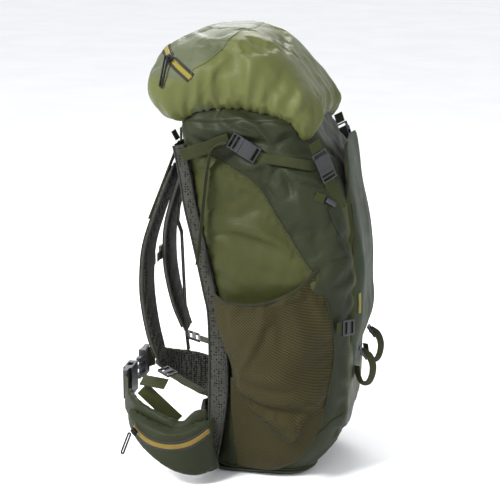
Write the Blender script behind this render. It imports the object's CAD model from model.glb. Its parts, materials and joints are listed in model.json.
"""How the hiking backpack looks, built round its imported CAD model. Tables are in millimetres, in the CAD's own
frame: +Z up, -X towards the wearer's back, -Y the wearer's left. Objects are in metres."""

import json
import math
import random

import bpy
import numpy as np
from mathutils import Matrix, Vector, noise
from mathutils.bvhtree import BVHTree


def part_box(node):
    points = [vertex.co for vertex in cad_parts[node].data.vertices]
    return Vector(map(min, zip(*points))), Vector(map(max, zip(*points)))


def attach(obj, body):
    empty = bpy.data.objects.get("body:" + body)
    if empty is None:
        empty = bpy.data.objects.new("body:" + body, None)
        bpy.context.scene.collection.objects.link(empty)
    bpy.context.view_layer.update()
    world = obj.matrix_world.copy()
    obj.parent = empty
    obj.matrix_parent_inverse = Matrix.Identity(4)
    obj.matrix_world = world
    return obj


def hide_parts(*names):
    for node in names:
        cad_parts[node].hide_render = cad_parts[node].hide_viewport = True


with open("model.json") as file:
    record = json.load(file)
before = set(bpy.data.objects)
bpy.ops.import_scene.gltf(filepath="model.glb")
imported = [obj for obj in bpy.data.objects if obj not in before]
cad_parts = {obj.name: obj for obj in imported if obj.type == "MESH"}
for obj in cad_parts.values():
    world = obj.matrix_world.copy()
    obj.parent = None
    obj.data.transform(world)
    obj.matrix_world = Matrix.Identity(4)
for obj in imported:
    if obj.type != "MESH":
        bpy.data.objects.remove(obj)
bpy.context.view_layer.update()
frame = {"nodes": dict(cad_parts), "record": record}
MM = 0.001
FAR = 1.0               # a ray's start, safely outside the object
SIDES = (("left", -1), ("right", 1))

# ---------------------------------------------------------------- camera
CAMERA_AZIMUTH, CAMERA_ELEVATION = math.radians(10.5), math.radians(14)
CAMERA_TARGET = Vector((-0.0296, 0, 0.3498))
CAMERA_DISTANCE = 2.6
CAMERA_LENS = 113.2


def make_camera():
    back = Vector((
        math.sin(CAMERA_AZIMUTH) * math.cos(CAMERA_ELEVATION),
        -math.cos(CAMERA_AZIMUTH) * math.cos(CAMERA_ELEVATION),
        math.sin(CAMERA_ELEVATION),
    ))
    data = bpy.data.cameras.new("camera")
    data.lens = CAMERA_LENS
    camera = bpy.data.objects.new("camera", data)
    camera.location = CAMERA_TARGET + back * CAMERA_DISTANCE
    camera.rotation_euler = (-back).to_track_quat("-Z", "Y").to_euler()
    bpy.context.scene.collection.objects.link(camera)
    bpy.context.scene.camera = camera


# ---------------------------------------------------------------- materials
def srgb(code, gain=0.24, rich=1.15):
    """A colour as the shader wants it, from its usual six-digit form, darkened and made richer."""
    channels = [int(code[i:i + 2], 16) / 255 for i in (1, 3, 5)]
    linear = [c / 12.92 if c <= 0.04045 else ((c + 0.055) / 1.055) ** 2.4 for c in channels]
    grey = sum(linear) / 3
    return (*[min(1.0, max(0.0, grey + (c - grey) * rich) * gain) for c in linear], 1.0)


class Nodes:
    """A new material, and short calls that add nodes to it."""

    def __init__(self, name):
        self.material = bpy.data.materials.new(name)
        self.material.use_nodes = True
        self.tree = self.material.node_tree
        self.shader = self.tree.nodes["Principled BSDF"]

    def add(self, kind, *values, out=0, **settings):
        """Adds a node, fills its inputs in order and returns one of its outputs."""
        node = self.tree.nodes.new("ShaderNode" + kind)
        named = {k: settings.pop(k) for k in list(settings) if k[0].isupper()}
        for key, value in settings.items():
            setattr(node, key, value)
        for socket, value in list(zip(node.inputs, values)) + [(node.inputs[k], v) for k, v in named.items()]:
            self.put(socket, value)
        return node.outputs[out]

    def put(self, socket, value):
        if isinstance(value, bpy.types.NodeSocket):
            self.tree.links.new(value, socket)
        elif value is not None:
            socket.default_value = value

    def math(self, operation, *values):
        return self.add("Math", *values, operation=operation)

    def blend(self, share, a, b, kind="MIX"):
        """One colour over another."""
        return self.add("Mix", share, None, None, None, None, None, a, b, out=2, data_type="RGBA", blend_type=kind)

    def ramp(self, value, low, high, start=0.0, end=1.0):
        """Maps low..high to start..end, smoothly."""
        return self.add("MapRange", value, low, high, start, end, interpolation_type="SMOOTHSTEP")

    def where(self):
        return self.add("TexCoord", out=3)

    def noise(self, scale, detail=3.0, at=None):
        return self.add("TexNoise", Vector=at or self.where(), Scale=scale, Detail=detail, Roughness=0.6)

    def bump(self, height, distance, strength=1.0, under=None):
        return self.add("Bump", Strength=strength, Distance=distance, Height=height, Normal=under)

    def weave(self, pitch, turn=0.0):
        """A woven height, with threads the given distance apart along every axis."""
        at = self.where()
        if turn:
            at = self.add("VectorRotate", at, Angle=turn, rotation_type="Y_AXIS")
        waves = self.add("VectorMath", self.add("VectorMath", at, (math.pi / pitch,) * 3, operation="MULTIPLY"),
                         operation="SINE")
        split = self.tree.nodes.new("ShaderNodeSeparateXYZ")
        self.put(split.inputs[0], waves)
        x, y, z = split.outputs
        total = self.math("ADD", self.math("MULTIPLY", x, z), self.math("MULTIPLY", y, z))
        return self.math("ADD", total, self.math("MULTIPLY", x, y))

    def finish(self, colour, roughness, normal=None, **constants):
        self.put(self.shader.inputs["Base Color"], colour)
        self.put(self.shader.inputs["Roughness"], roughness)
        self.put(self.shader.inputs["Normal"], normal)
        for name, value in constants.items():
            self.shader.inputs[name.replace("_", " ")].default_value = value
        return self.material


def fabric(name, colour, other=None, pitch=0.0012, roughness=0.5, sheen=0.03, depth=0.00012, mottle=0.16):
    """Woven nylon. With a second colour, the mesh attribute 'panel' says where that one goes: above 0."""
    n = Nodes(name)
    base = srgb(colour)
    if other:
        edge = n.ramp(n.add("Attribute", out=2, attribute_name="panel"), -0.0006, 0.0006)
        base = n.blend(edge, base, srgb(other))
    weave = n.weave(pitch)
    cloud = n.noise(9.0, 4.0)
    grain = n.noise(900.0, 2.0)
    shade = n.math("ADD", n.ramp(cloud, 0.3, 0.7, 1.0 - mottle, 1.0 + mottle * 0.6),
                   n.math("MULTIPLY", n.math("SUBTRACT", grain, 0.5), 0.16))
    shade = n.math("ADD", shade, n.math("MULTIPLY", weave, 0.05))
    worn = n.ramp(n.add("NewGeometry", out=7), 0.5, 0.62, 0.0, 0.3)
    lit = n.blend(1.0, base, n.add("CombineColor", shade, shade, shade), "MULTIPLY")
    lit = n.blend(worn, lit, n.blend(1.0, base, (1.7, 1.7, 1.7, 1.0), "MULTIPLY"))
    rough = n.ramp(n.noise(40.0, 3.0), 0.25, 0.75, roughness - 0.06, roughness + 0.08)
    normal = n.bump(weave, depth, 0.5, n.bump(n.noise(160.0, 3.0), 0.0006, 0.35))
    return n.finish(lit, rough, normal, Sheen_Weight=sheen, Sheen_Roughness=0.4, Specular_IOR_Level=0.14)


def open_mesh(name, thread, hole, pitch, turn=math.pi / 4, roughness=0.62, depth=0.0006, wide=0.15):
    """Knitted mesh, with a lattice of darker holes."""
    n = Nodes(name)
    turned = n.add("VectorRotate", n.add("TexCoord", out=2), Angle=turn, rotation_type="Z_AXIS")
    waves = n.add("VectorMath", n.add("VectorMath", turned, (2 * math.pi / pitch,) * 3, operation="MULTIPLY"),
                  operation="SINE")
    split = n.tree.nodes.new("ShaderNodeSeparateXYZ")
    n.put(split.inputs[0], waves)
    lattice = n.math("ADD", n.math("MULTIPLY", split.outputs[0], 0.5), n.math("MULTIPLY", split.outputs[1], 0.5))
    open_part = n.ramp(lattice, -wide, 0.75)
    cloud = n.ramp(n.noise(8.0, 4.0), 0.3, 0.7, 0.82, 1.12)
    cord = n.blend(1.0, srgb(thread), n.add("CombineColor", cloud, cloud, cloud), "MULTIPLY")
    colour = n.blend(open_part, cord, srgb(hole))
    normal = n.bump(n.math("SUBTRACT", 1.0, open_part), depth, 0.6, n.bump(n.noise(500.0, 2.0), 0.0002, 0.4))
    return n.finish(colour, roughness, normal, Sheen_Weight=0.03, Specular_IOR_Level=0.1)


def spacer_mesh(name, thread, hole, cell):
    """Padded spacer mesh: rows of deep round holes."""
    n = Nodes(name)
    pits = n.add("TexVoronoi", Vector=n.where(), Scale=1 / cell, Randomness=0.35, feature="F1")
    deep = n.ramp(pits, 0.3, 0.55, 1.0, 0.0)
    knit = n.weave(0.0011)
    cloud = n.ramp(n.noise(12.0, 3.0), 0.3, 0.7, 0.8, 1.15)
    rim = n.blend(1.0, srgb(thread), n.add("CombineColor", cloud, cloud, cloud), "MULTIPLY")
    colour = n.blend(deep, rim, srgb(hole))
    normal = n.bump(n.math("SUBTRACT", 1.0, deep), 0.0011, 0.8, n.bump(knit, 0.0002, 0.5))
    return n.finish(colour, 0.75, normal, Sheen_Weight=0.03, Specular_IOR_Level=0.1)


def ribbed(name, colour, edge, rib=0.0016, roughness=0.6, contrast=0.25):
    """Webbing, with ribs across it and a plain woven edge. Its pattern follows the UVs, which are in metres."""
    n = Nodes(name)
    at = n.add("TexCoord", out=2)
    split = n.tree.nodes.new("ShaderNodeSeparateXYZ")
    n.put(split.inputs[0], at)
    across, along = split.outputs[0], split.outputs[1]
    ribs = n.math("SINE", n.math("MULTIPLY", along, 2 * math.pi / rib))
    twill = n.math("SINE", n.math("MULTIPLY", across, 2 * math.pi / (rib * 0.9)))
    height = n.math("ADD", ribs, n.math("MULTIPLY", twill, 0.6))
    cloud = n.ramp(n.noise(25.0, 4.0), 0.3, 0.7, 0.82, 1.12)
    shade = n.math("ADD", cloud, n.math("MULTIPLY", height, contrast * 0.3))
    lit = n.blend(1.0, srgb(colour), n.add("CombineColor", shade, shade, shade), "MULTIPLY")
    worn = n.ramp(n.add("NewGeometry", out=7), 0.52, 0.7, 0.0, 0.6)
    normal = n.bump(height, 0.00022, 0.7, n.bump(n.noise(700.0, 2.0), 0.0002, 0.3))
    return n.finish(n.blend(worn, lit, srgb(edge)), roughness, normal, Sheen_Weight=0.05, Specular_IOR_Level=0.15)


def moulded(name, colour, roughness=0.38):
    """Moulded plastic, with a fine spark-eroded grain and scuffed edges."""
    n = Nodes(name)
    grain = n.noise(1400.0, 2.0)
    cloud = n.noise(30.0, 4.0)
    worn = n.ramp(n.add("NewGeometry", out=7), 0.53, 0.68, 0.0, 0.5)
    colour = n.blend(worn, n.blend(n.ramp(cloud, 0.3, 0.7), srgb(colour), srgb(colour, 0.8)), srgb("#5d5f63"))
    rough = n.ramp(cloud, 0.2, 0.8, roughness - 0.08, roughness + 0.12)
    return n.finish(colour, rough, n.bump(grain, 0.00008, 0.5), Coat_Weight=0.1)


def coil_zip(name, colour):
    """Zip tape with a coil of teeth down its middle. Its pattern follows the UVs, which are in metres."""
    n = Nodes(name)
    split = n.tree.nodes.new("ShaderNodeSeparateXYZ")
    n.put(split.inputs[0], n.add("TexCoord", out=2))
    teeth = n.math("SINE", n.math("MULTIPLY", split.outputs[1], 2 * math.pi / 0.0018))
    shade = n.ramp(teeth, -1.0, 1.0, 0.72, 1.1)
    lit = n.blend(1.0, srgb(colour), n.add("CombineColor", shade, shade, shade), "MULTIPLY")
    cloud = n.ramp(n.noise(60.0, 3.0), 0.3, 0.75, 0.0, 0.25)
    return n.finish(n.blend(cloud, lit, srgb("#8f6f10")), 0.42, n.bump(teeth, 0.0003, 0.8))


def metal(name, colour, roughness):
    """Drawn or cast metal, with fine streaks along it."""
    n = Nodes(name)
    stretched = n.add("VectorMath", n.where(), (900.0, 900.0, 40.0), operation="MULTIPLY")
    streaks = n.add("TexNoise", Vector=stretched, Scale=1.0, Detail=2.0)
    shade = n.blend(n.ramp(streaks, 0.3, 0.7), srgb(colour, 0.8, 1.0), srgb(colour, 1.1, 1.0))
    rough = n.ramp(streaks, 0.2, 0.8, roughness - 0.07, roughness + 0.1)
    return n.finish(shade, rough, n.bump(streaks, 0.00005, 0.5), Metallic=0.9)


OLIVE = fabric("olive_fabric", "#6a6f42", "#4b5138", roughness=0.46)
DARK = fabric("dark_fabric", "#4b5138", roughness=0.42)
LID = fabric("lid_fabric", "#9aa066", "#959c7b", roughness=0.45, mottle=0.1)
STRETCH = fabric("stretch_fabric", "#566349", "#5a5e34", pitch=0.0016, roughness=0.6, sheen=0.03)
LINING = fabric("lining_fabric", "#1d1f1a", roughness=0.6)
HIP = fabric("hip_fabric", "#4b5138", roughness=0.5)
POCKET_MESH = open_mesh("pocket_mesh", "#68613d", "#2c2918", 0.0034)
BACK_MESH = open_mesh("tension_mesh", "#33342f", "#0e0f0e", 0.0035, wide=0.35)
SPACER = spacer_mesh("spacer_mesh", "#77776f", "#1d1d1a", 0.004)
WEBBING = ribbed("webbing", "#555a33", "#747950")
WEB = fabric("flat_webbing", "#555a33", pitch=0.0016, roughness=0.6, depth=0.0003)
BINDING = ribbed("binding_tape", "#4c5036", "#62664a", rib=0.0012)
GREY_TAPE = ribbed("grey_tape", "#5a5a55", "#77776f", rib=0.0012)
ELASTIC = ribbed("elastic_cord", "#3a3d2c", "#565a40", rib=0.0012)
PLASTIC = moulded("plastic", "#24252a")
RUBBER = moulded("rubber", "#4b4a4a", 0.6)
ZIP_BRIGHT = coil_zip("zip_bright", "#e6d335")
ZIP_AMBER = coil_zip("zip_amber", "#dcb726")
STEEL = metal("spring_steel", "#9a9b9e", 0.3)
GUNMETAL = metal("gunmetal", "#2b2b2d", 0.4)


# ---------------------------------------------------------------- making meshes
def mm(points):
    return np.asarray(points, float) * MM


def link(name, mesh, material):
    mesh.materials.append(material)
    for polygon in mesh.polygons:
        polygon.use_smooth = True
    obj = bpy.data.objects.new(name, mesh)
    bpy.context.scene.collection.objects.link(obj)
    return obj


def placed(obj, body, replaces=()):
    """Puts a finished piece on its body, and says what it stands for."""
    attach(obj, body)
    if replaces:
        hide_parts(*replaces)
    return obj


def grid(name, points, material, closed=False, flip=False):
    """A sheet of quads over rows of points. Closed joins each row's two ends. UVs are in metres."""
    rows, cols = points.shape[:2]
    wrapped = np.concatenate([points, points[:, :1]], 1) if closed else points
    u = np.zeros(wrapped.shape[:2])
    v = np.zeros(wrapped.shape[:2])
    u[:, 1:] = np.cumsum(np.linalg.norm(np.diff(wrapped, axis=1), axis=2), 1).mean(0)
    v[1:] = np.cumsum(np.linalg.norm(np.diff(wrapped, axis=0), axis=2), 0)
    r, c = np.meshgrid(np.arange(rows - 1), np.arange(wrapped.shape[1] - 1), indexing="ij")
    r, c = r.ravel(), c.ravel()
    corners = [(r, c), (r, c + 1), (r + 1, c + 1), (r + 1, c)]
    if flip:
        corners = corners[::-1]
    quads = np.stack([a * cols + b % cols for a, b in corners], 1)
    mesh = bpy.data.meshes.new(name)
    mesh.from_pydata(points.reshape(-1, 3).tolist(), [], quads.tolist())
    layer = mesh.uv_layers.new(name="metres")
    layer.data.foreach_set("uv", np.stack([[u[a, b], v[a, b]] for a, b in corners], 0).transpose(2, 0, 1).ravel())
    return link(name, mesh, material)


def thicken(obj, thickness, offset=-1.0):
    """Gives a sheet its two faces and its edges."""
    solid = obj.modifiers.new("thickness", "SOLIDIFY")
    solid.thickness = thickness * MM
    solid.offset = offset
    return obj


def coords(obj):
    co = np.empty(len(obj.data.vertices) * 3)
    obj.data.vertices.foreach_get("co", co)
    return co.reshape(-1, 3)


def normals(obj):
    no = np.empty(len(obj.data.vertices) * 3)
    obj.data.vertices.foreach_get("normal", no)
    return no.reshape(-1, 3)


def set_coords(obj, co):
    obj.data.vertices.foreach_set("co", np.ascontiguousarray(co, float).ravel())
    obj.data.update()


def smooth_line(points, step=3.0, closed=False):
    """Points evenly spaced along a smooth curve through the given ones, all in metres but for step."""
    p = np.asarray(points, float)
    before = p[-1:] if closed else 2 * p[:1] - p[1:2]
    after = p[:2] if closed else 2 * p[-1:] - p[-2:-1]
    q = np.concatenate([before, p, after])
    t = np.linspace(0, 1, 12, endpoint=False)[:, None]
    spans = []
    for a, b, c, d in zip(q, q[1:], q[2:], q[3:]):
        spans.append(0.5 * (2 * b + (c - a) * t + (2 * a - 5 * b + 4 * c - d) * t**2 + (3 * b - a - 3 * c + d) * t**3))
    line = np.concatenate(spans + [p[:1] if closed else p[-1:]])
    run = np.concatenate([[0], np.cumsum(np.linalg.norm(np.diff(line, axis=0), axis=1))])
    count = max(2, int(round(run[-1] / (step * MM))) + 1)
    at = np.linspace(0, run[-1], count)
    return np.stack([np.interp(at, run, line[:, i]) for i in range(p.shape[1])], 1)


def unit(v):
    return v / np.maximum(np.linalg.norm(v, axis=-1, keepdims=True), 1e-12)


def sweep(name, path, across, width, thick, material, power=5.0, sides=20):
    """A strap or cord along a path. Its section is a rounded rectangle, or an ellipse where power is 2."""
    count = len(path)
    along = unit(np.gradient(path, axis=0))
    a = np.broadcast_to(np.asarray(across, float), path.shape)
    a = unit(a - along * (a * along).sum(1, keepdims=True))
    n = np.cross(along, a)
    angle = np.linspace(0, 2 * math.pi, sides, endpoint=False)
    s = np.sign(np.cos(angle)) * np.abs(np.cos(angle)) ** (2 / power)
    t = np.sign(np.sin(angle)) * np.abs(np.sin(angle)) ** (2 / power)
    w = np.broadcast_to(np.asarray(width, float) * MM / 2, (count,))[:, None, None]
    h = np.broadcast_to(np.asarray(thick, float) * MM / 2, (count,))[:, None, None]
    rings = path[:, None] + a[:, None] * s[None, :, None] * w + n[:, None] * t[None, :, None] * h
    obj = grid(name, rings, material, closed=True)
    mesh = obj.data
    flat = np.broadcast_to((s * w[:, 0]).reshape(count, sides), (count, sides))
    run = np.concatenate([[0], np.cumsum(np.linalg.norm(np.diff(path, axis=0), axis=1))])
    r, c = np.meshgrid(np.arange(count - 1), np.arange(sides), indexing="ij")
    r, c = r.ravel(), c.ravel()
    uv = [(flat[i, j % sides], run[i]) for i, j in ((r, c), (r, c + 1), (r + 1, c + 1), (r + 1, c))]
    mesh.uv_layers[0].data.foreach_set("uv", np.stack([np.stack(x) for x in uv], 0).transpose(2, 0, 1).ravel())
    caps = bpy.data.meshes.new(name)
    faces = [list(p.vertices) for p in mesh.polygons]
    faces += [list(range(sides))[::-1], list(range((count - 1) * sides, count * sides))]
    caps.from_pydata([v.co[:] for v in mesh.vertices], [], faces)
    layer = caps.uv_layers.new(name="metres")
    values = np.zeros(len(caps.loops) * 2)
    old = np.empty(len(mesh.loops) * 2)
    mesh.uv_layers[0].data.foreach_get("uv", old)
    values[:len(old)] = old
    layer.data.foreach_set("uv", values)
    bpy.data.objects.remove(obj)
    return link(name, caps, material)


def cord_along(name, path, diameter, material):
    """A round cord along a path."""
    along = unit(np.gradient(path, axis=0))
    up = np.where(np.abs(along[:, 2:]) > 0.8, (1.0, 0.0, 0.0), (0.0, 0.0, 1.0))
    across = up[0] if len(set(map(tuple, up))) == 1 else (0.31, 0.27, 0.91)
    return sweep(name, path, across, diameter, diameter, material, power=2.0, sides=10)


def join(name, parts):
    """One object from several, keeping each one's materials."""
    with bpy.context.temp_override(active_object=parts[0], selected_editable_objects=parts):
        bpy.ops.object.join()
    parts[0].name = name
    parts[0].data.name = name
    return parts[0]


def net_surface(net, rows, cols):
    """A smooth surface through a net of points."""
    def stretched(lines, count):
        out = []
        for line in lines:
            p = np.asarray(line, float)
            q = np.concatenate([2 * p[:1] - p[1:2], p, 2 * p[-1:] - p[-2:-1]])
            at = np.linspace(0, len(p) - 1, count)
            i = np.minimum(at.astype(int), len(p) - 2)
            t = (at - i)[:, None]
            a, b, c, d = q[i], q[i + 1], q[i + 2], q[i + 3]
            out.append(0.5 * (2 * b + (c - a) * t + (2 * a - 5 * b + 4 * c - d) * t**2
                              + (3 * b - a - 3 * c + d) * t**3))
        return np.stack(out)
    wide = stretched(net, cols)
    return stretched(wide.transpose(1, 0, 2), rows).transpose(1, 0, 2)


def distance_to(co, line):
    """Each point's distance to a line of points, and how far along the line its nearest point is, 0 to 1."""
    best = np.full(len(co), 1e9)
    share = np.zeros(len(co))
    run = np.concatenate([[0], np.cumsum(np.linalg.norm(np.diff(line, axis=0), axis=1))])
    for i, (a, b) in enumerate(zip(line, line[1:])):
        d = b - a
        t = np.clip(((co - a) @ d) / max(d @ d, 1e-12), 0, 1)
        away = np.linalg.norm(co - a - t[:, None] * d, axis=1)
        closer = away < best
        best[closer] = away[closer]
        share[closer] = (run[i] + t * (run[i + 1] - run[i]))[closer] / run[-1]
    return best, share


def fold(co, no, line, width, height):
    """Raises, or with a negative height lowers, a soft ridge along a line near the surface."""
    near = np.linalg.norm(co - mm(line).mean(0), axis=1) < 0.3
    away, share = distance_to(co[near], smooth_line(mm(line), 6))
    taper = np.sin(np.pi * np.clip(share, 0.03, 0.97)) ** 0.6
    lift = np.exp(-(away / (width * MM)) ** 2) * taper * height * MM
    co[near] += no[near] * lift[:, None]


def rumple(co, no, scale, height, seed):
    """Uneven, soft waves over a surface."""
    place = [noise.noise(Vector(p) * scale + Vector((seed, 0, 0))) for p in co]
    return co + no * (np.array(place) * height * MM)[:, None]


def tree_of_nodes(*names):
    """A search tree over CAD nodes."""
    verts, faces = [], []
    for name in names:
        mesh = frame["nodes"][name].data
        base = len(verts)
        verts += [v.co.copy() for v in mesh.vertices]
        faces += [[base + i for i in p.vertices] for p in mesh.polygons]
    return BVHTree.FromPolygons(verts, faces)


def tree_of_piece(obj):
    return BVHTree.FromPolygons([v.co.copy() for v in obj.data.vertices], [list(p.vertices) for p in obj.data.polygons])


def laid(tree, points, lift):
    """The points moved onto a surface and lifted off it, and the surface's outward direction at each."""
    places, outward = [], []
    for point in points:
        at, normal, _, _ = tree.find_nearest(Vector(point))
        places.append(at + normal * lift * MM)
        outward.append(normal)
    return np.array(places), np.array(outward)


def puff(obj, held, pressure, slack, frames=14, cap=8.0, bending=0.6, outward_only=False):
    """Runs Cloth on a mesh and keeps its result. held is each vertex's hold, 0 to 1; cap is in millimetres."""
    group = obj.vertex_groups.new(name="held")
    for weight in np.unique(np.round(held, 1)):
        if weight > 0:
            group.add(np.flatnonzero(np.round(held, 1) == weight).tolist(), float(weight), "REPLACE")
    cloth = obj.modifiers.new("cloth", "CLOTH")
    settings = cloth.settings
    settings.quality = 5
    settings.mass = 0.15
    settings.tension_stiffness = settings.compression_stiffness = 15
    settings.shear_stiffness = 5
    settings.bending_stiffness = bending
    settings.tension_damping = settings.compression_damping = settings.shear_damping = 8
    settings.use_pressure = True
    settings.uniform_pressure_force = pressure
    settings.vertex_group_mass = group.name
    settings.shrink_min = -slack
    settings.effector_weights.gravity = 0
    cloth.collision_settings.use_collision = False
    scene = bpy.context.scene
    before = coords(obj)
    for number in range(1, frames + 1):
        scene.frame_set(number)
    shown = obj.evaluated_get(bpy.context.evaluated_depsgraph_get())
    after = np.empty(len(before) * 3)
    shown.data.vertices.foreach_get("co", after)
    move = after.reshape(-1, 3) - before
    far = np.linalg.norm(move, axis=1, keepdims=True)
    move *= np.minimum(1.0, cap * MM / np.maximum(far, 1e-9))
    obj.modifiers.remove(cloth)
    obj.vertex_groups.clear()
    scene.frame_set(1)
    set_coords(obj, before + move)
    return obj


def cushion(name, node, material, pressure=4.0, cap=6.0, voxel=5.0):
    """A stuffed piece, grown from a CAD node's shape: remeshed, blown up by Cloth and smoothed."""
    obj = bpy.data.objects.new(name, frame["nodes"][node].data.copy())
    bpy.context.scene.collection.objects.link(obj)
    obj.data.materials.clear()
    obj.data.materials.append(material)
    remesh = obj.modifiers.new("remesh", "REMESH")
    remesh.mode = "VOXEL"
    remesh.voxel_size = voxel * MM
    settle = obj.modifiers.new("settle", "SMOOTH")
    settle.iterations = 4
    dg = bpy.context.evaluated_depsgraph_get()
    mesh = bpy.data.meshes.new_from_object(obj.evaluated_get(dg))
    obj.modifiers.clear()
    obj.data = mesh
    for polygon in mesh.polygons:
        polygon.use_smooth = True
    puff(obj, np.zeros(len(mesh.vertices)), pressure, 0.0, frames=12, cap=cap)
    subdivide = obj.modifiers.new("subdivide", "SUBSURF")
    subdivide.levels = subdivide.render_levels = 1
    return obj


# ---------------------------------------------------------------- the bag
# X and Z of the seam between the olive side panel and the dark front panel
PANEL_SEAM = ((-116, 556), (-107, 548), (-91, 542), (-64, 533), (-48, 526), (-25, 513), (-6, 501), (15, 483), (28, 460),
              (43, 435), (61, 407), (80, 376), (100, 350), (122, 318), (140, 290))
BASE_SEAM = ((160, 112), (140, 104), (124, 100), (94, 74), (75, 46), (49, 34))
# Folds near the side's surface: X, |Y|, Z of each point, then width and height
BAG_FOLDS = (
    (((-53, 127, 588), (-35, 133, 573), (-14, 134, 566), (14, 134, 563)), 6, 6),
    (((-70, 133, 566), (-40, 134, 560), (-5, 134, 553), (20, 134, 553)), 6, -5),
    (((-25, 127, 589), (3, 131, 578), (15, 133, 568), (28, 135, 552)), 5, 6),
    (((30, 136, 549), (42, 133, 558), (60, 124, 569)), 5, -6),
    (((20, 131, 585), (46, 128, 574), (70, 118, 570)), 8, 5),
    (((4, 137, 537), (36, 137, 527), (73, 133, 523), (100, 116, 516)), 4, -5),
    (((2, 136, 546), (40, 136, 537), (76, 130, 532), (100, 114, 524)), 6, 5),
    (((36, 137, 520), (58, 138, 508), (81, 134, 499), (106, 121, 491)), 5, 5),
    (((46, 138, 510), (69, 138, 494), (92, 132, 484), (112, 121, 474)), 5, 4),
    (((40, 137, 515), (62, 138, 501), (86, 133, 491), (110, 121, 483)), 4, -3),
    (((33, 137, 524), (46, 138, 514), (54, 138, 497), (64, 139, 468)), 6, -5),
    (((15, 138, 491), (23, 138, 482), (36, 139, 466)), 7, -4),
    (((-24, 137, 533), (-7, 137, 518), (20, 137, 524), (34, 138, 505)), 8, 5),
    (((-100, 130, 566), (-80, 134, 552), (-58, 136, 545)), 6, -5),
    (((-92, 131, 575), (-66, 134, 570), (-40, 134, 562)), 7, 5),
    (((-96, 133, 538), (-60, 138, 512), (-18, 138, 488), (14, 138, 474)), 14, 4),
    (((-80, 137, 500), (-50, 139, 468), (-18, 139, 452), (26, 139, 436)), 16, -3),
    (((-60, 139, 434), (-12, 139, 420), (20, 140, 410), (70, 140, 386)), 11, 4),
    (((-52, 139, 410), (-10, 140, 402), (24, 140, 392), (60, 140, 376)), 9, -3),
    (((-50, 140, 397), (-12, 140, 382), (24, 140, 366), (60, 140, 352)), 12, 3),
    (((100, 128, 470), (112, 124, 420), (118, 124, 360), (122, 124, 300)), 14, 4),
    (((84, 136, 455), (98, 134, 410), (108, 132, 370)), 12, -3),
    (((60, 139, 478), (80, 138, 452), (92, 136, 420)), 12, 4),
    (((118, 124, 250), (128, 122, 200), (130, 124, 150)), 12, 3),
    (((90, 132, 548), (110, 112, 520), (122, 88, 512)), 9, 5),
    (((84, 120, 572), (98, 96, 556), (106, 60, 548)), 8, 5),
    (((100, 100, 560), (112, 70, 532), (122, 30, 522)), 8, -4),
)
BAG_COLUMNS = 236
LOW_PANEL_TOP = (0.285, 0.345)      # the whole bag is dark below this height, at its rear and at its front


def middle_of(tree, z):
    """The middle of a hollow body's level section."""
    back = tree.ray_cast(Vector((-FAR, 0, z)), Vector((1, 0, 0)))[0]
    front = tree.ray_cast(Vector((FAR, 0, z)), Vector((-1, 0, 0)))[0]
    return Vector(((back.x + front.x) / 2, 0, z))


def skin(node, heights, angles):
    """Rows of points where level rays from outside meet a CAD node."""
    tree = tree_of_nodes(node)
    rows = np.empty((len(heights), len(angles), 3))
    for i, z in enumerate(mm(heights)):
        middle = middle_of(tree, z)
        for j, angle in enumerate(angles):
            way = Vector((math.cos(angle), math.sin(angle), 0))
            rows[i, j] = tree.ray_cast(middle + way * FAR, -way)[0]
    return rows


def mark(obj, values):
    """Stores where the second colour goes."""
    layer = obj.data.attributes.new("panel", "FLOAT", "POINT")
    layer.data.foreach_set("value", np.asarray(values, np.float32))


def side_of(co, line):
    """Signed distance of points to a line in the XZ plane: above and to the right is more than 0."""
    flat = np.stack([co[:, 0], co[:, 2]], 1)
    path = smooth_line(mm(line), 4)
    away, _ = distance_to(flat, path)
    nearest = np.array([np.argmin(((path - p) ** 2).sum(1)) for p in flat])
    along = unit(np.gradient(path, axis=0))[nearest]
    offset = flat - path[nearest]
    return away * np.sign(along[:, 1] * -offset[:, 0] + along[:, 0] * offset[:, 1])


def bag_panel(co):
    """More than 0 where the bag is dark: past the side seam, but for the strips beside the front pocket."""
    low_top = np.interp(co[:, 0], (0.08, 0.105), LOW_PANEL_TOP)
    dark = np.maximum(side_of(co, PANEL_SEAM), low_top - co[:, 2])
    strip = np.interp(co[:, 2], mm((250, 300, 370, 440, 470)), mm((97, 99, 101, 106, 112)))
    in_strip = np.minimum(strip - np.abs(co[:, 1]), np.minimum(0.456 - co[:, 2], co[:, 2] - 0.12))
    in_strip = np.where(co[:, 0] > 0.09, in_strip, -1.0)
    return np.minimum(dark, -in_strip)


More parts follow.
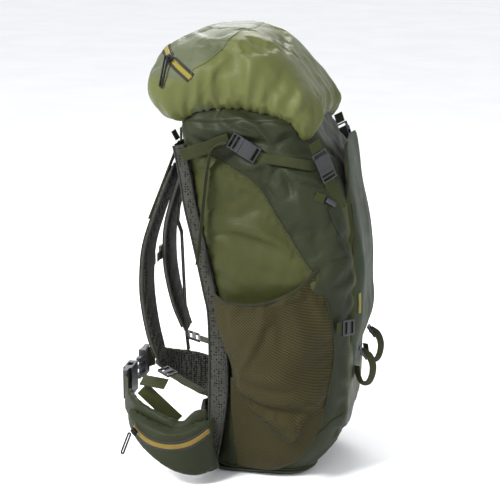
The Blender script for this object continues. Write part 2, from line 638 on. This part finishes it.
def make_bag():
    angles = np.linspace(0, 2 * math.pi, BAG_COLUMNS, endpoint=False)
    low = skin("main_bag", np.linspace(10.6, 584.6, 128), angles)
    high = skin("bag_collar", np.linspace(588, 639.4, 12), angles)
    points = np.concatenate([low, high])
    whole = grid("bag", points, OLIVE, closed=True)
    co, no = coords(whole), normals(whole)
    loose = np.clip((np.abs(no[:, 1]) + np.clip(no[:, 0], 0, 1) - 0.25) / 0.5, 0, 1)
    loose *= np.clip((co[:, 2] - 0.02) / 0.06, 0, 1)
    rest = co.copy()
    for line, width, height in BAG_FOLDS:
        for _, side in SIDES:
            fold(co, no, [(x, side * y, z) for x, y, z in line], width * 0.85, height * 1.4)
    co = rumple(co, no, 14, 5.0, 4.0)
    co = rumple(co, no, 42, 1.6, 9.0)
    co = rest + (co - rest) * loose[:, None]
    set_coords(whole, co)
    on_seam, _ = distance_to(np.stack([co[:, 0], np.zeros(len(co)), co[:, 2]], 1),
                             np.insert(smooth_line(mm(PANEL_SEAM), 6), 1, 0, axis=1))
    held = np.maximum(1 - loose, (on_seam < 0.004) * 0.9)
    held[:2 * BAG_COLUMNS] = held[-BAG_COLUMNS:] = 1
    puff(whole, held, 1.2, 0.03, frames=14, cap=5.0)
    under = np.clip((0.335 - co[:, 2]) / 0.03, 0, 1) * np.clip((np.abs(no[:, 1]) - 0.35) / 0.25, 0, 1)[:len(co)]
    done = coords(whole) * (1 - under[:, None]) + (rest - no * 0.0015) * under[:, None]
    done = done.reshape(points.shape)
    bpy.data.objects.remove(whole)
    split = len(low)
    bag = grid("main_bag_fabric", done[:split], OLIVE, closed=True)
    mark(bag, bag_panel(coords(bag)))
    placed(thicken(bag, 1.4), "pack", ["main_bag"])
    collar = grid("collar_fabric", done[split - 1:], DARK, closed=True)
    placed(thicken(collar, 1.2), "pack", ["bag_collar"])
    return bag


def seam_on(name, tree, line, body, width=3.0, lift=0.3, material=None, thick=1.6, replaces=()):
    """A raised seam laid on a surface along a line of points."""
    path, outward = laid(tree, smooth_line(mm(line), 4), lift)
    across = np.cross(np.gradient(path, axis=0), outward)
    seam = sweep(name, path, across, width, thick, material or BINDING, power=2.6, sides=12)
    return placed(seam, body, replaces)


def zip_on(name, tree, line, body, replaces, material):
    """A zip's tape, and the coil on it, laid on a surface."""
    seam_on(f"{name}_tape", tree, line, body, 17, 0.4, GREY_TAPE, 1.0)
    seam_on(f"{name}_coil", tree, line, body, 8, 1.0, material, 1.8, replaces)


def stitches(name, tree, line, body, pitch=4.2, lift=0.5, material=None):
    """A row of thread stitches laid on a surface."""
    path, outward = laid(tree, smooth_line(mm(line), pitch), lift)
    along = unit(np.gradient(path, axis=0))
    across = np.cross(along, outward)
    verts, faces = [], []
    for p, a, c, o in zip(path, along, across, outward):
        base = len(verts)
        for end in (-1, 1):
            for dc, do in ((-0.35, 0), (0, 0.4), (0.35, 0), (0, -0.4)):
                verts.append(p + (a * end * 1.25 + c * dc + o * (do - 0.1 * abs(end))) * MM)
        faces += [[base + i, base + (i + 1) % 4, base + 4 + (i + 1) % 4, base + 4 + i] for i in range(4)]
        faces += [[base, base + 3, base + 2, base + 1], [base + 4, base + 5, base + 6, base + 7]]
    mesh = bpy.data.meshes.new(name)
    mesh.from_pydata([tuple(v) for v in verts], [], faces)
    return placed(link(name, mesh, material or WEBBING), body)


def make_bag_seams(bag):
    tree = tree_of_piece(bag)
    for name, side in SIDES:
        seam = [(x, side * 142, z) for x, z in PANEL_SEAM[:13]]
        seam_on(f"panel_seam_{name}", tree, seam, "pack", 2.4)
        stitches(f"panel_stitches_{name}", tree, [(x - 3, y, z - 3) for x, y, z in seam], "pack")
        base = [(x, side * 126, z) for x, z in BASE_SEAM]
        seam_on(f"base_seam_{name}", tree, base, "pack", 2.4)
    around = [(c.x * 1000, c.y * 1000, 13) for c in (bag.data.vertices[i].co for i in range(0, BAG_COLUMNS, 6))]
    seam_on("base_welt", tree, around + around[:1], "pack", 5, 0.6, DARK, 3.2)


def make_base():
    """The reinforced base, with its edge rolled under."""
    angles = np.linspace(0, 2 * math.pi, 120, endpoint=False)
    rows = skin("base_panel", np.linspace(0.3, 9.2, 6), angles)
    middle = rows[0].mean(0)
    floor = [middle + (rows[0] - middle) * share for share in (0.2, 0.5, 0.8, 0.95)]
    obj = grid("base_fabric", np.concatenate([np.stack(floor), rows]), DARK, closed=True)
    placed(thicken(obj, 1.5), "pack", ["base_panel"])


# ---------------------------------------------------------------- the lid
LID_MIDDLE = Vector((-0.03, 0, 0.61))
LID_COLUMNS, LID_ROWS = 264, 84
# X, |Y|, Z along the seam between the lid's middle panel and its side panels
LID_SEAM = ((-94, 141, 651), (-93, 137, 664), (-72, 131, 676), (-48, 112, 700), (-29, 74, 715), (-18, 20, 718),
            (-17, 1, 718))
LID_CREASE = ((40, 104, 690), (64, 112, 670), (84, 116, 640), (97, 119, 610), (104, 121, 580), (104, 125, 560))
# Soft ridges on the lid's side panels
LID_FOLDS = (
    (((-70, 143, 640), (-62, 140, 664), (-40, 122, 690)), 12, 3),
    (((-10, 145, 620), (-2, 142, 660), (4, 118, 694)), 16, 3),
    (((20, 143, 612), (40, 136, 640), (46, 118, 672)), 12, -3),
    (((56, 140, 590), (70, 132, 620), (70, 118, 652)), 10, 4),
    (((92, 128, 566), (94, 122, 596), (84, 112, 636)), 9, -4),
    (((104, 100, 575), (104, 92, 600), (96, 84, 628)), 9, 4),
    (((100, 118, 560), (106, 108, 580), (104, 100, 606)), 7, 4),
    (((-150, 100, 590), (-150, 96, 620), (-140, 88, 650)), 12, 4),
    (((-160, 40, 590), (-166, 30, 620), (-160, 20, 650)), 12, 3),
    (((106, 30, 578), (104, 24, 600), (92, 14, 630)), 12, 3),
)


# From the middle of the lid's rear round its left corner
LID_ZIP = ((-148, -30, 688), (-148.5, -71, 687.8), (-144.5, -94.1, 686.4), (-135.3, -114.6, 681.2),
           (-121.4, -130.7, 671.8), (-103.8, -138.8, 658.9), (-94.7, -140.8, 651.9))


def lid_points():
    """Rows over the lid, from its hem up to the middle of its top."""
    tree = tree_of_nodes("lid_shell")

    def met(angle, rise):
        way = Vector((math.cos(angle) * math.cos(rise), math.sin(angle) * math.cos(rise), math.sin(rise)))
        return tree.ray_cast(LID_MIDDLE + way * FAR, -way, FAR - 0.03)[0]

    points = np.empty((LID_ROWS, LID_COLUMNS, 3))
    for j in range(LID_COLUMNS):
        angle = 2 * math.pi * j / LID_COLUMNS
        low, high = -1.1, 0.4
        for _ in range(12):
            middle = (low + high) / 2
            low, high = (low, middle) if met(angle, middle) else (middle, high)
        for i, share in enumerate(np.linspace(0, 1, LID_ROWS)):
            points[i, j] = met(angle, high + 0.004 + share * (math.radians(88.5) - high - 0.004))
    return points


def gathers(points, no):
    """Ridges that fan up from the elastic in the hem, strongest at the sides."""
    draw = random.Random(7)
    hem = points[0]
    run = np.concatenate([[0], np.cumsum(np.linalg.norm(np.diff(hem, axis=0), axis=1))])
    rise = np.concatenate([np.zeros((1, LID_COLUMNS)),
                           np.cumsum(np.linalg.norm(np.diff(points, axis=0), axis=2), 0)])
    strong = np.clip((np.abs(hem[:, 1]) - 0.1) / 0.03, 0.3, 1) * np.clip((0.1 - hem[:, 0]) / 0.05, 0.3, 1)
    lift = np.zeros(points.shape[:2])
    place = 0.004
    while place < run[-1]:
        lean = draw.uniform(-0.35, 0.35)
        reach = draw.choice((0.018, 0.026, 0.04, 0.06)) * draw.uniform(0.8, 1.2)
        width = draw.uniform(0.0035, 0.0055)
        height = draw.uniform(4.5, 8.5) * np.interp(place, run, strong)
        away = (run[None] - place - lean * rise) / (width + 0.1 * rise)
        lift += height * np.exp(-away**2) * np.exp(-rise / reach) - height * 0.25 * np.exp(-rise / 0.02) * 0.5
        place += draw.uniform(0.011, 0.021)
    return points + no * (lift * MM)[:, :, None]


def make_lid():
    points = lid_points()
    whole = grid("lid", points, LID, closed=True)
    no = normals(whole).reshape(points.shape)
    co = gathers(points, no).reshape(-1, 3)
    flat_no = no.reshape(-1, 3)
    for line, width, height in LID_FOLDS:
        for _, side in SIDES:
            fold(co, flat_no, [(x, side * y, z) for x, y, z in line], width * 0.8, height * 1.7)
    for _, side in SIDES:
        fold(co, flat_no, [(x, side * y, z) for x, y, z in LID_CREASE], 4, 4)
    co = rumple(co, flat_no, 13, 4.0, 2.0)
    co = rumple(co, flat_no, 38, 1.6, 6.0)
    set_coords(whole, co)
    rise = np.linspace(0, 1, LID_ROWS)[:, None] * np.ones((1, LID_COLUMNS))
    held = np.clip((rise - 0.72) / 0.1, 0, 1)
    held[0] = 1
    puff(whole, held.ravel(), 0.5, 0.03, frames=12, cap=3.0)
    done = coords(whole).reshape(points.shape)
    bpy.data.objects.remove(whole)
    top = done[-1].mean(0)
    cap = [done[-1] + (top - done[-1]) * share for share in (0.5, 0.9)]
    lid = grid("lid_fabric_shell", np.concatenate([done, np.stack(cap)]), LID, closed=True)
    seam = mm([(x, y, z) for x, y, z in LID_SEAM])
    co = coords(lid)
    mirrored = np.stack([co[:, 0], np.abs(co[:, 1]), co[:, 2]], 1)
    path = smooth_line(seam, 4)
    away, _ = distance_to(mirrored, path)
    edge = np.interp(co[:, 0], path[:, 0], path[:, 1])
    inner = np.where(co[:, 0] < -0.094, np.where(co[:, 2] > 0.651, 1, -1), np.sign(edge - np.abs(co[:, 1])))
    mark(lid, away * inner)
    placed(thicken(lid, 1.4), "lid", ["lid_shell"])
    tree = tree_of_piece(lid)
    hem = done[0][np.arange(0, LID_COLUMNS, 2)] / MM
    seam_on("lid_hem", tree, np.concatenate([hem, hem[:1]]), "lid", 5.0, 0.2, LID, 3.4,
            ["lid_hem_elastics"])
    rear = [(x, y, z) for x, y, z in reversed(LID_ZIP)]
    zip_on("lid_zip", tree, rear + [(x, -y, z) for x, y, z in LID_ZIP], "lid", ["lid_zip"], ZIP_BRIGHT)
    for name, side in SIDES:
        line = [(x, side * y, z) for x, y, z in LID_SEAM]
        seam_on(f"lid_seam_{name}", tree, line, "lid", 2.2, 0.2, LID, 1.2)
        stitches(f"lid_stitches_{name}", tree, [(x, side * (abs(y) + 3), z) for x, y, z in line], "lid")
    return lid


def make_lid_floor():
    """The inner panel of the lid's pocket, sagging a little."""
    low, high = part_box("lid_floor")
    rows = skin("lid_floor", [(low.z + high.z) / 2 / MM], np.linspace(0, 2 * math.pi, 90, endpoint=False))[0]
    middle = rows.mean(0)
    rings = [middle + (rows - middle) * share - (0, 0, 0.006 * (1 - share**2)) for share in np.linspace(0.05, 1, 14)]
    obj = grid("lid_floor_fabric", np.stack(rings), LINING, closed=True)
    placed(thicken(obj, 1.0, 0.0), "lid", ["lid_floor"])


# ---------------------------------------------------------------- pockets
# Rows from the top hem down, each from the rear to the front: X, |Y|, Z
SIDE_POCKET_NET = (
    ((-62, 138, 312), (-42, 156, 304), (-8, 163, 303), (23, 164, 307), (47, 161, 315), (77, 152, 332), (104, 135, 360)),
    ((-61, 139, 292), (-40, 159, 285), (-8, 166, 282), (25, 168, 285), (52, 166, 291), (84, 157, 302), (113, 135, 320)),
    ((-56, 140, 262), (-36, 161, 255), (-5, 169, 252), (28, 170, 252), (60, 168, 254), (95, 159, 260), (125, 134, 275)),
    ((-46, 141, 230), (-28, 160, 223), (0, 168, 218), (32, 170, 216), (64, 168, 217), (98, 158, 219), (131, 133, 228)),
    ((-34, 142, 198), (-18, 160, 190), (6, 167, 184), (36, 170, 181), (66, 168, 180), (98, 158, 181), (128, 134, 188)),
    ((-30, 143, 176), (-12, 160, 163), (14, 168, 154), (42, 171, 150), (70, 169, 149), (97, 160, 150), (122, 136, 156)),
    ((-28, 143, 166), (-4, 152, 148), (20, 158, 138), (46, 160, 134), (70, 158, 132), (94, 152, 130), (116, 137, 132)),
    ((-24, 144, 154), (3, 158, 132), (26, 165, 118), (48, 168, 112), (66, 167, 110), (82, 161, 113), (98, 148, 122)),
    ((-18, 144, 146), (8, 151, 122), (30, 156, 102), (50, 160, 89), (66, 165, 82), (77, 167, 92), (88, 158, 112)),
)
LOWER_POCKET_NET = (
    ((-34, 141, 176), (-6, 146, 170), (26, 148, 166), (58, 148, 160), (90, 144, 150), (116, 133, 138)),
    ((-34, 139, 130), (-8, 144, 126), (24, 147, 122), (56, 147, 118), (88, 141, 108), (112, 127, 100)),
    ((-32, 133, 84), (-8, 137, 78), (20, 139, 74), (46, 139, 70), (72, 135, 66), (92, 126, 62)),
    ((-30, 125, 44), (-10, 128, 38), (12, 130, 36), (34, 130, 34), (54, 127, 33), (72, 121, 34)),
    ((-28, 117, 18), (-12, 119, 15), (4, 120, 14), (20, 120, 14), (34, 118, 15), (46, 115, 18)),
)


POCKET_LIFT = 0.0025


def make_side_pocket(name, side):
    def surface(net, rows, cols):
        points = net_surface(mm(net), rows, cols)
        points[:, :, 1] = (points[:, :, 1] + POCKET_LIFT) * side
        return points

    upper = grid(f"side_pocket_mesh_{name}", surface(SIDE_POCKET_NET, 66, 52), POCKET_MESH, flip=side < 0)
    co, no = coords(upper), normals(upper)
    for line, width, height in (
        (((22, 168, 306), (20, 170, 270), (2, 168, 226), (-18, 160, 190)), 9, 5),
        (((40, 168, 306), (52, 170, 262), (50, 170, 226)), 10, -6),
        (((-44, 158, 296), (-36, 160, 262), (-24, 160, 230)), 9, -5),
        (((66, 168, 310), (84, 160, 260), (92, 160, 214)), 12, 5),
        (((-24, 160, 200), (10, 168, 188), (50, 170, 186), (92, 158, 176)), 8, 6),
        (((-14, 160, 188), (20, 168, 170), (56, 170, 166), (84, 160, 168)), 8, -6),
        (((96, 156, 330), (108, 150, 290), (116, 146, 240)), 7, 3),
    ):
        fold(co, no, [(x, side * y, z) for x, y, z in line], width, height)
    set_coords(upper, rumple(co, no, 26, 1.6, 5.0))
    edge = np.zeros((66, 52))
    edge[0] = edge[-1] = 1
    edge[:, 0] = edge[:, -1] = 1
    edge[48:51] = 0.7
    puff(upper, edge.ravel(), 1.0, 0.03, frames=12, cap=4.0)
    tree = tree_of_piece(upper)
    placed(thicken(upper, 1.0), "pack", [f"side_pocket_{name}"])
    lower = grid(f"side_pocket_base_{name}", surface(LOWER_POCKET_NET, 40, 40), POCKET_MESH, flip=side < 0)
    co, no = coords(lower), normals(lower)
    set_coords(lower, rumple(co, no, 24, 2.0, 8.0))
    placed(thicken(lower, 1.0), "pack")
    top = [(x, side * y, z) for x, y, z in SIDE_POCKET_NET[0]]
    seam_on(f"side_pocket_hem_{name}", tree, top, "pack", 5.5, 0.0, BINDING, 2.4)
    lip = [(x, side * y, z) for x, y, z in SIDE_POCKET_NET[-1]]
    seam_on(f"side_pocket_lip_{name}", tree, lip, "pack", 4.0, 0.0, BINDING, 2.0)
    front = [(row[-1][0], side * row[-1][1], row[-1][2]) for row in SIDE_POCKET_NET[:7]]
    seam_on(f"side_pocket_seam_{name}", tree, front, "pack", 2.4, 0.3, BINDING, 1.4)


def make_front_pocket():
    tree = tree_of_nodes("front_pocket")
    angles = np.radians(np.linspace(-47, 47, 88))
    rows = 104
    points = np.empty((rows, len(angles), 3))

    def met(angle, z):
        way = Vector((math.cos(angle), math.sin(angle), 0))
        return tree.ray_cast(Vector((0.055, 0, z)) + way * FAR, -way, FAR - 0.02)[0]

    for j, angle in enumerate(angles):
        low, high = 0.42, 0.56
        for _ in range(12):
            middle = (low + high) / 2
            low, high = (middle, high) if met(angle, middle) else (low, middle)
        for i, z in enumerate(np.linspace(0.1565, low - 0.0005, rows)):
            points[i, j] = met(angle, z) or points[i, j - 1]
    obj = grid("front_pocket_fabric", points, STRETCH)
    co, no = coords(obj), normals(obj)
    for line, width, height in (
        (((158, -70, 440), (166, -50, 470), (166, -30, 500)), 8, 3),
        (((150, -92, 430), (160, -78, 380), (166, -66, 320)), 12, 3),
        (((166, -60, 300), (168, -56, 250), (162, -60, 200)), 12, -2),
        (((170, 0, 300), (168, 8, 250), (160, 0, 200)), 16, 3),
        (((166, 40, 470), (170, 30, 420), (170, 24, 370)), 14, 3),
        (((166, 60, 300), (166, 50, 250), (160, 56, 200)), 12, 3),
    ):
        fold(co, no, line, width, height)
    co = rumple(co, no, 14, 2.2, 3.0)
    set_coords(obj, co)
    held = np.zeros((rows, len(angles)))
    held[0] = held[-1] = 1
    held[:, 0] = held[:, -1] = 1
    puff(obj, held.ravel(), 0.8, 0.02, frames=12, cap=4.0)
    co = coords(obj)
    edge = np.interp(co[:, 2], mm((160, 250, 316, 364, 411, 458)), mm((70, 92, 95, 92, 86, 80)))
    mark(obj, np.abs(co[:, 1]) - edge)
    placed(thicken(obj, 1.3), "pack", ["front_pocket"])
    tree = tree_of_piece(obj)
    hem = coords(obj).reshape(rows, len(angles), 3)[-1] / MM
    seam_on("front_pocket_hem", tree, hem[::3], "pack", 6.0, 0.0, BINDING, 2.6)
    for name, side in SIDES:
        line = [(150, side * y, z) for z, y in ((165, 72), (250, 92), (316, 95), (364, 92), (411, 86), (452, 80))]
        seam_on(f"front_pocket_seam_{name}", tree, line, "pack", 2.4, 0.2, BINDING, 1.4)
    tab = ((170, -88, 309), (173, -88, 292), (170, -88, 276))
    seam_on("front_pocket_tab", tree, tab, "pack", 7, 0.8, ZIP_BRIGHT, 1.6)


# ---------------------------------------------------------------- back system
MESH_LINE = ((-76, 14), (-72, 150), (-73, 265), (-81, 314), (-98, 395), (-110, 448), (-118, 500), (-127, 545))
BINDING_BACK = ((-62, 14), (-41, 150), (-49, 265), (-61, 314), (-78, 395), (-90, 448), (-99, 500), (-109, 545))
STRAP_STATIONS = (
    (-139, 54, 503, 58), (-144, 57, 487, 62), (-153, 62, 462, 66), (-169, 68, 415, 70), (-180, 75, 375, 70),
    (-184, 79, 337, 70), (-183, 84, 290, 66), (-173, 90, 232, 60), (-157, 96, 182, 50),
)


def make_back():
    line = smooth_line(mm([(x, 0, z) for x, z in MESH_LINE]), 6)
    ys = np.linspace(-0.1194, 0.1194, 40)
    bow = 0.004 * (ys / 0.12) ** 2
    points = np.stack([line + (0, y, 0) + np.array((-b, 0, 0)) for y, b in zip(ys, bow)], 1)
    mesh = grid("tension_mesh_sheet", points + (0.003, 0, 0), BACK_MESH, flip=True)
    placed(thicken(mesh, 1.6), "pack", ["back_mesh"])
    parts = []
    for name, side in SIDES:
        wearer = smooth_line(mm([(x, side * 127, z) for x, z in MESH_LINE]), 4)
        behind = smooth_line(mm([(x, side * 127, z) for x, z in BINDING_BACK]), 4)
        count = min(len(wearer), len(behind))
        wearer, behind = (np.stack([np.interp(np.linspace(0, 1, count), np.linspace(0, 1, len(p)), p[:, i])
                                    for i in range(3)], 1) for p in (wearer, behind))
        width = np.linalg.norm(behind - wearer, axis=1) / MM + 1
        body = sweep(f"edge_padding_{name}", (wearer + behind) / 2, behind - wearer, width, 13.4, SPACER, 3.4, 28)
        placed(body, "pack", ["mesh_bindings"])
        edge = wearer + (0.0004, side * 0.006, 0)
        parts.append(cord_along(f"edge_piping_{name}", edge, 3.2, GREY_TAPE))
        parts.append(cord_along(f"edge_piping_inner_{name}", behind + (-0.001, side * 0.0066, 0), 2.6, GREY_TAPE))
    for part in parts:
        placed(part, "pack")


def make_shoulder_strap(name, side):
    path = smooth_line(mm([(x, side * y, z) for x, y, z, _ in STRAP_STATIONS]), 4)
    run = np.linspace(0, 1, len(path))
    stations = np.linspace(0, 1, len(STRAP_STATIONS))
    width = np.interp(run, stations, [w for _, _, _, w in STRAP_STATIONS])
    thick = 14.5 * np.clip(1 - np.abs(2 * run - 1) ** 14, 0.35, 1)
    strap = sweep(f"shoulder_pad_{name}", path, (0, 1, 0), width - 3, thick, SPACER, 2.7, 36)
    placed(strap, "pack", [f"shoulder_strap_{name}"])
    along = unit(np.gradient(path, axis=0))
    outer = unit(np.cross(along, np.broadcast_to((0.0, 1.0, 0.0), path.shape)))
    outer *= np.sign(-outer[:, :1])
    cover = path + outer * 0.0066
    face = sweep(f"shoulder_cover_{name}", cover[2:-2], (0, 1, 0), width[2:-2] - 14, 3.0, DARK, 3.0, 20)
    placed(face, "pack")
    chain = path + outer * 0.0084
    lower = int(len(path) * 0.12)
    tape = sweep(f"shoulder_tape_{name}", chain[lower:-3], (0, 1, 0), 20, 1.4, WEBBING)
    placed(tape, "pack")
    for edge in (-1, 1):
        rim = path + np.array((0, 1, 0)) * (edge * (width - 3.4) / 2 * MM)[:, None]
        piping = cord_along(f"shoulder_piping_{name}_{'inner' if edge * side < 0 else 'outer'}", rim, 4.4, GREY_TAPE)
        placed(piping, "pack")


def make_back_pads():
    for node, name, material in (("harness_yoke", "yoke_pad", SPACER), ("lumbar_pad", "lumbar_cushion", SPACER)):
        pad = cushion(name, node, material, 3.0, 3.0, 4.5)
        placed(pad, "pack", [node])


# ---------------------------------------------------------------- webbing
def strap_between(name, points, across, width, body="pack", replaces=(), material=None, thick=1.5):
    return placed(sweep(name, smooth_line(mm(points), 3), across, width, thick, material or WEBBING), body,
                  replaces)


def make_webbing():
    for name, side in SIDES:
        y = side * 143.4
        rear = ((-112, y, 531), (-92, y + side, 539), (-70, y + side, 546), (-54, y, 553), (-36, y, 560))
        strap_between(f"side_web_rear_{name}", rear, (-0.4, 0, 1), 20, replaces=[f"side_strap_{name}"])
        front = ((8, y, 536), (20, y, 532), (34, y - side * 2, 530), (58, side * 141, 527), (84, side * 134, 522),
                 (101, side * 118, 516))
        strap_between(f"side_web_front_{name}", front, (0.1, 0, 1), 16)
        tail = ((-40, side * 147, 556), (-52, side * 151, 553), (-62, side * 153, 543), (-66, side * 154, 525),
                (-70, side * 154, 500), (-75, side * 154, 455), (-80, side * 153, 410), (-86, side * 151, 362))
        strap_between(f"side_web_tail_{name}", tail, (0.1, 1, 0.2), 18, thick=1.3)


TOOL_LOOP = ((166, 206), (178, 198), (184, 183), (183, 166), (177, 153), (167, 152), (161, 163), (158, 180))


def make_tool_loops():
    for name, side in SIDES:
        path = smooth_line(mm([(x, side * 62, z) for x, z in TOOL_LOOP]), 3)
        level = np.array((0.0, 1.0, 0.0))
        across = unit(np.cross(np.gradient(path, axis=0), level)) * 0.75 + level * 0.65
        loop = sweep(f"tool_loop_{name}", path, across, 13, 1.8, WEBBING)
        placed(loop, "pack", ["tool_loops"])


def hardware():
    """Softens the edges of the CAD pieces that stay, and gives them their finish."""
    finishes = {
        "plastic": PLASTIC, "spring_steel": STEEL, "zip_metal": GUNMETAL, "webbing": WEB, "elastic_cord": ELASTIC,
        "zip_yellow": ZIP_AMBER, "pad_fabric": HIP, "dark_fabric": DARK, "lid_fabric": LID, "shell_fabric": OLIVE,
        "stretch_fabric": STRETCH, "pocket_mesh": POCKET_MESH, "spacer_mesh": SPACER,
    }
    slot_of = {part["node"]: part["material_slot"] for part in frame["record"]["subparts"]}
    for name, obj in frame["nodes"].items():
        if obj.hide_render:
            continue
        if not obj.material_slots:
            obj.data.materials.append(None)
        for slot in obj.material_slots:
            slot.material = finishes[slot_of[name]]
        weld = obj.modifiers.new("weld", "WELD")
        weld.merge_threshold = 0.00002
        bevel = obj.modifiers.new("bevel", "BEVEL")
        bevel.width = 0.0005
        bevel.segments = 2
        bevel.limit_method = "ANGLE"
        bevel.angle_limit = math.radians(40)
        bevel.harden_normals = True


# ---------------------------------------------------------------- the hip belt
HIP_ZIP = ((-187.6, 168.5, 91.6), (-172.1, 181.4, 80.7), (-152.1, 190.2, 73.5), (-122, 194, 71), (-92.6, 188.3, 76.8),
           (-64.6, 169.3, 94))


def make_hip(name, side):
    body = f"hip_{name}"
    fin = cushion(f"hip_fin_pad_{name}", f"hip_fin_{name}", HIP, 3.0, 3.0, 4.5)
    placed(fin, body, [f"hip_fin_{name}"])
    fin.data.materials.append(SPACER)
    for polygon in fin.data.polygons:
        if polygon.normal.y * side < -0.25:
            polygon.material_index = 1
    pocket = cushion(f"hip_pocket_bag_{name}", f"hip_pocket_{name}", HIP, 3.0, 3.5, 4.0)
    placed(pocket, body, [f"hip_pocket_{name}"])
    zip_on(f"hip_zip_{name}", tree_of_piece(pocket), [(x, side * y, z) for x, y, z in HIP_ZIP], body,
           [f"hip_zip_{name}"], ZIP_AMBER)


# ---------------------------------------------------------------- the stage
def make_stage():
    n = Nodes("floor")
    spots = n.ramp(n.noise(3.0, 3.0), 0.3, 0.7, 0.93, 0.97)
    n.finish(n.add("CombineColor", spots, spots, spots), 0.85)
    mesh = bpy.data.meshes.new("floor")
    mesh.from_pydata([(-9, -6, 0), (9, -6, 0), (9, 12, 0), (-9, 12, 0)], [], [(0, 1, 2, 3)])
    link("floor", mesh, n.material)
    world = bpy.data.worlds.new("studio")
    world.use_nodes = True
    world.node_tree.nodes["Background"].inputs[0].default_value = (0.95, 0.97, 1.0, 1.0)
    world.node_tree.nodes["Background"].inputs[1].default_value = 0.95
    bpy.context.scene.world = world
    bpy.context.scene.view_settings.view_transform = "Standard"
    for name, place, size, power in (
        ("key", (-1.5, -2.0, 2.5), 0.8, 150),
        ("fill", (2.2, -1.6, 1.2), 1.6, 10),
        ("rim", (-0.4, 1.9, 1.9), 1.2, 40),
    ):
        data = bpy.data.lights.new(name, "AREA")
        data.size = size
        data.energy = power
        light = bpy.data.objects.new(name, data)
        light.location = place
        light.rotation_euler = (Vector((-0.03, 0, 0.36)) - Vector(place)).to_track_quat("-Z", "Y").to_euler()
        bpy.context.scene.collection.objects.link(light)


make_camera()
make_stage()
bag_piece = make_bag()
make_bag_seams(bag_piece)
make_base()
make_lid()
make_lid_floor()
for side_name, side_sign in SIDES:
    make_side_pocket(side_name, side_sign)
    make_shoulder_strap(side_name, side_sign)
    make_hip(side_name, side_sign)
make_front_pocket()
make_back()
make_back_pads()
make_webbing()
make_tool_loops()
hardware()
